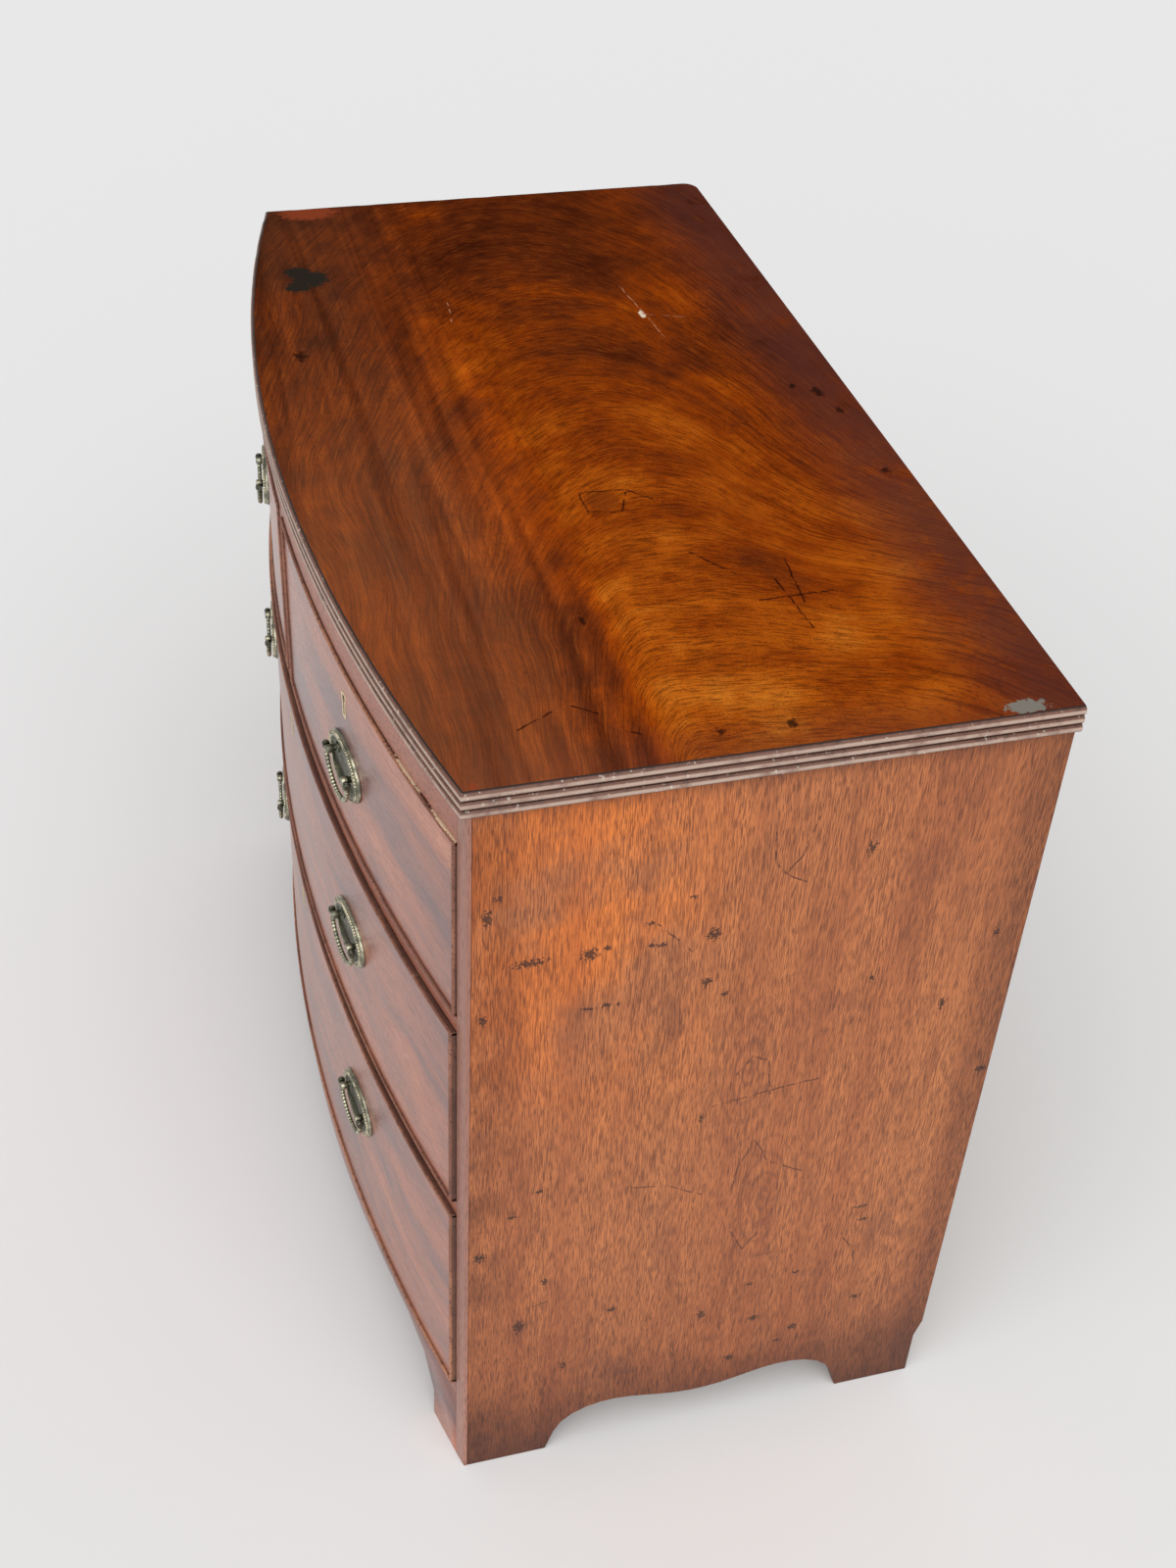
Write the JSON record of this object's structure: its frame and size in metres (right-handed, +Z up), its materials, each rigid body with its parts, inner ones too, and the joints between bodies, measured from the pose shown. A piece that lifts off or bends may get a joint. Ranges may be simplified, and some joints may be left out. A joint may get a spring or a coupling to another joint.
{
  "type": "bow front chest of drawers",
  "caption": "Mahogany chest with a bowed front, reeded top, cock-beaded short drawers over long drawers, hanging brass bail handles and bracket feet cut from the sides.",
  "frame": {"origin": "on the floor, under the middle of the chest's overall box", "axes": "+X to the chest's own right as seen from the front, +Y to the back, +Z up"},
  "size_m": [0.96, 0.53, 0.85],
  "materials": {
    "mahogany_top": "figured mahogany veneer, worn french polish",
    "mahogany_side": "solid mahogany, straight upright grain, worn polish",
    "mahogany_front": "flame mahogany veneer, glossy polish",
    "mahogany_edge": "straight-grained mahogany, glossy polish",
    "bead_mahogany": "worn mahogany beading",
    "oak": "dry oak, unpolished",
    "pine": "dry pine, unpolished",
    "aged_brass": "aged lacquered brass, dulled in the hollows",
    "lock_brass": "dull brass"
  },
  "bodies": {
    "carcase": {"top_board": "mahogany_top", "side_panel_left": "mahogany_side", "side_panel_right": "mahogany_side", "front_lippings": "mahogany_edge", "top_rail": "mahogany_edge", "upper_drawer_rail": "mahogany_edge", "lower_drawer_rail": "mahogany_edge", "bottom_rail": "mahogany_edge", "front_apron": "mahogany_front", "centre_divider": "mahogany_edge", "runners_and_guides": "oak", "dust_boards": "pine", "bottom_board": "pine", "back_boards": "pine", "foot_blocks": "pine", "rear_foot_brackets": "oak", "drawer_stops": "oak"},
    "short_drawer_left": {"short_drawer_left_front": "mahogany_front", "short_drawer_left_sides": "oak", "short_drawer_left_back": "oak", "short_drawer_left_bottom": "oak", "short_drawer_left_cock_beading": "bead_mahogany", "short_drawer_left_lock": "lock_brass", "short_drawer_left_escutcheon": "lock_brass", "short_drawer_left_handle_plates": "aged_brass", "short_drawer_left_handle_posts": "aged_brass"},
    "short_drawer_right": {"short_drawer_right_front": "mahogany_front", "short_drawer_right_sides": "oak", "short_drawer_right_back": "oak", "short_drawer_right_bottom": "oak", "short_drawer_right_cock_beading": "bead_mahogany", "short_drawer_right_lock": "lock_brass", "short_drawer_right_escutcheon": "lock_brass", "short_drawer_right_handle_plates": "aged_brass", "short_drawer_right_handle_posts": "aged_brass"},
    "long_drawer_upper": {"long_drawer_upper_front": "mahogany_front", "long_drawer_upper_sides": "oak", "long_drawer_upper_back": "oak", "long_drawer_upper_bottom": "oak", "long_drawer_upper_cock_beading": "bead_mahogany", "long_drawer_upper_lock": "lock_brass", "long_drawer_upper_escutcheon": "lock_brass", "long_drawer_upper_handle_plates": "aged_brass", "long_drawer_upper_handle_posts": "aged_brass"},
    "long_drawer_lower": {"long_drawer_lower_front": "mahogany_front", "long_drawer_lower_sides": "oak", "long_drawer_lower_back": "oak", "long_drawer_lower_bottom": "oak", "long_drawer_lower_cock_beading": "bead_mahogany", "long_drawer_lower_lock": "lock_brass", "long_drawer_lower_escutcheon": "lock_brass", "long_drawer_lower_handle_plates": "aged_brass", "long_drawer_lower_handle_posts": "aged_brass"},
    "short_drawer_left_bail": {"short_drawer_left_bail": "aged_brass"},
    "short_drawer_right_bail": {"short_drawer_right_bail": "aged_brass"},
    "long_drawer_upper_bail_left": {"long_drawer_upper_bail_left": "aged_brass"},
    "long_drawer_upper_bail_right": {"long_drawer_upper_bail_right": "aged_brass"},
    "long_drawer_lower_bail_left": {"long_drawer_lower_bail_left": "aged_brass"},
    "long_drawer_lower_bail_right": {"long_drawer_lower_bail_right": "aged_brass"}
  },
  "joints": [
    {"name": "short_drawer_left_slide", "type": "slide", "parent": "carcase", "child": "short_drawer_left", "axis": [0, -1, 0], "range_m": [0, 0.3]},
    {"name": "short_drawer_right_slide", "type": "slide", "parent": "carcase", "child": "short_drawer_right", "axis": [0, -1, 0], "range_m": [0, 0.3]},
    {"name": "long_drawer_upper_slide", "type": "slide", "parent": "carcase", "child": "long_drawer_upper", "axis": [0, -1, 0], "range_m": [0, 0.3]},
    {"name": "long_drawer_lower_slide", "type": "slide", "parent": "carcase", "child": "long_drawer_lower", "axis": [0, -1, 0], "range_m": [0, 0.3]},
    {"name": "short_drawer_left_bail_hinge", "type": "hinge", "parent": "short_drawer_left", "child": "short_drawer_left_bail", "pos_m": [-0.23398, -0.25283, 0.68691], "axis": [-0.9916, 0.1291, 0], "range_deg": [0, 120]},
    {"name": "short_drawer_right_bail_hinge", "type": "hinge", "parent": "short_drawer_right", "child": "short_drawer_right_bail", "pos_m": [0.23398, -0.25283, 0.68691], "axis": [-0.9916, -0.1291, 0], "range_deg": [0, 120]},
    {"name": "long_drawer_upper_bail_left_hinge", "type": "hinge", "parent": "long_drawer_upper", "child": "long_drawer_upper_bail_left", "pos_m": [-0.23397, -0.25535, 0.49796], "axis": [-0.9917, 0.1289, 0], "range_deg": [0, 120]},
    {"name": "long_drawer_upper_bail_right_hinge", "type": "hinge", "parent": "long_drawer_upper", "child": "long_drawer_upper_bail_right", "pos_m": [0.23397, -0.25535, 0.49796], "axis": [-0.9917, -0.1289, 0], "range_deg": [0, 120]},
    {"name": "long_drawer_lower_bail_left_hinge", "type": "hinge", "parent": "long_drawer_lower", "child": "long_drawer_lower_bail_left", "pos_m": [-0.23397, -0.25535, 0.27099], "axis": [-0.9917, 0.1289, 0], "range_deg": [0, 120]},
    {"name": "long_drawer_lower_bail_right_hinge", "type": "hinge", "parent": "long_drawer_lower", "child": "long_drawer_lower_bail_right", "pos_m": [0.23397, -0.25535, 0.27099], "axis": [-0.9917, -0.1289, 0], "range_deg": [0, 120]}
  ]
}
